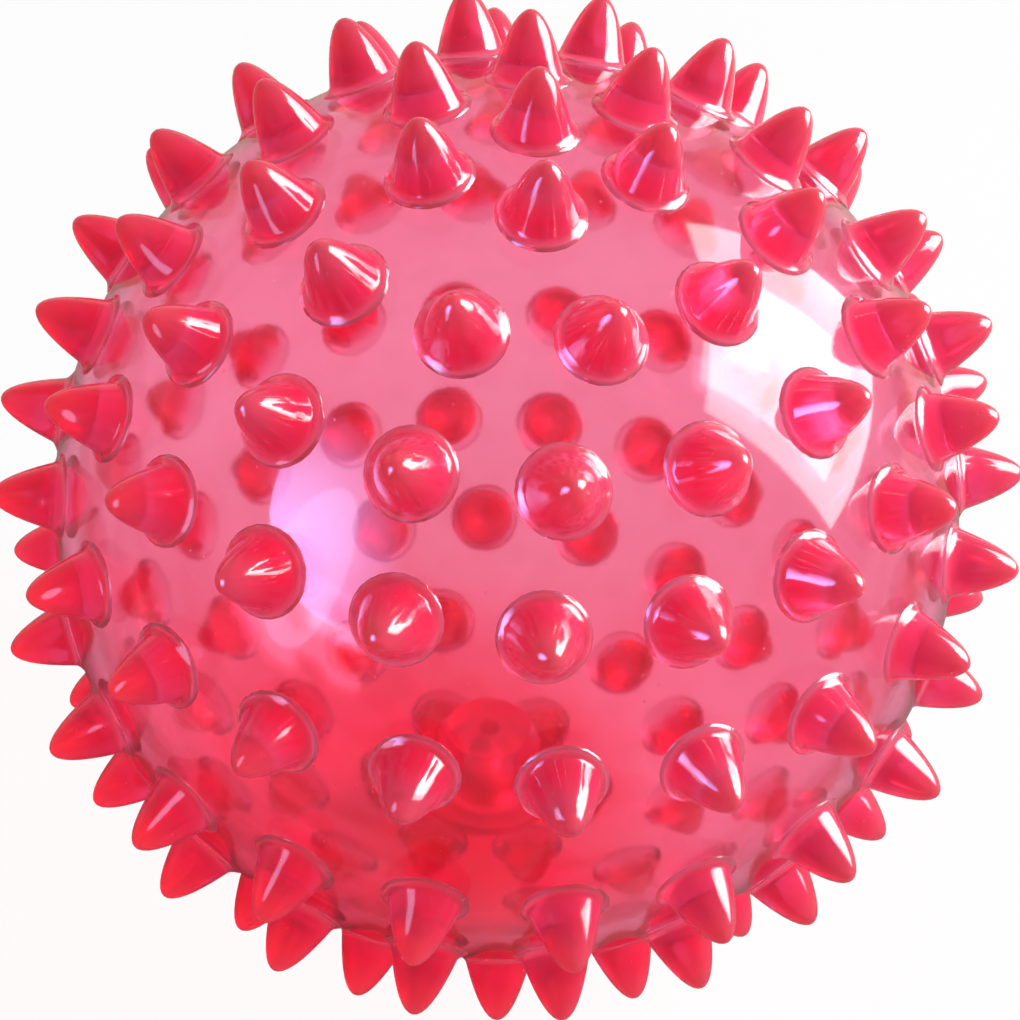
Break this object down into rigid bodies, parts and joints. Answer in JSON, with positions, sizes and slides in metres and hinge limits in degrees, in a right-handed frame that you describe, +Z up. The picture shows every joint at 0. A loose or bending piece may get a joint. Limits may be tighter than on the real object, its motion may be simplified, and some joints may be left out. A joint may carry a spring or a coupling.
{
  "type": "sensory ball",
  "caption": "Hollow soft vinyl ball with rings of round-tipped spikes over its translucent skin, for gripping, rolling and massage, closed by an air valve with a pull-out plug.",
  "frame": {"origin": "on the floor plane below the ball's centre, where the lowest ring of spikes stands", "axes": "+Z up, from the valve at the lower pole to the spike at the upper pole; -Y is the direction that both halves of the spike pattern are counted from"},
  "size_m": [0.0986, 0.0978, 0.0989],
  "materials": {
    "skin": "translucent pink-red soft PVC, thin, glossy outside and hazy inside",
    "spike": "the same translucent PVC, solid and so deep red, glossy",
    "bush": "thick translucent red PVC, satin",
    "plug": "milky soft PVC, satin"
  },
  "bodies": {
    "ball": {"ball_skin": "skin", "valve_bush": "bush", "pole_spike": "spike", "upper_spikes_1": "spike", "upper_spikes_2": "spike", "upper_spikes_3": "spike", "upper_spikes_4": "spike", "upper_spikes_5": "spike", "lower_spikes_1": "spike", "lower_spikes_2": "spike", "lower_spikes_3": "spike", "lower_spikes_4": "spike", "lower_spikes_5": "spike"},
    "plug": {"valve_plug": "plug"}
  },
  "joints": [
    {"name": "plug_pull", "type": "slide", "parent": "ball", "child": "plug", "axis": [0, 0, -1], "range_m": [0, 0.05]}
  ]
}
